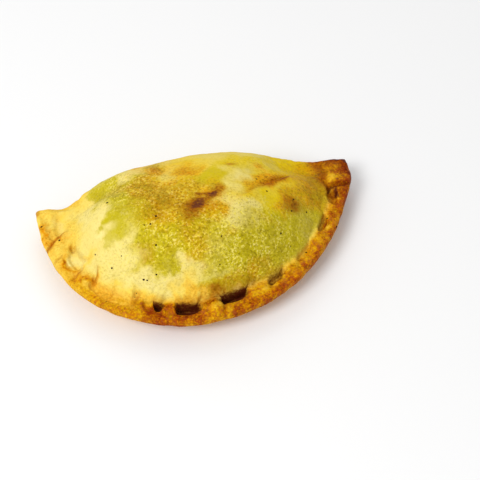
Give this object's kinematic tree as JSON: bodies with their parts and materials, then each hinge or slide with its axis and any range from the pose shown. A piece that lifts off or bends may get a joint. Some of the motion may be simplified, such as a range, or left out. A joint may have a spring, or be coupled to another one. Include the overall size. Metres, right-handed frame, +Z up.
{
  "type": "empanada",
  "caption": "Whole half-moon turnover of baked dough over a filling, with a folded back, pressed ears and a thumb-crimped rim.",
  "frame": {"origin": "middle of the bounding box, on the plane the turnover rests on", "axes": "+X from one ear to the other along the fold, +Y towards the fold, -Y towards the crimped rim, +Z up"},
  "size_m": [0.147, 0.0856, 0.0398],
  "materials": {
    "crust": "baked dough, dry and slightly oily, pale yellow with brown patches"
  },
  "bodies": {
    "root": {"empanada": "crust"}
  },
  "joints": []
}
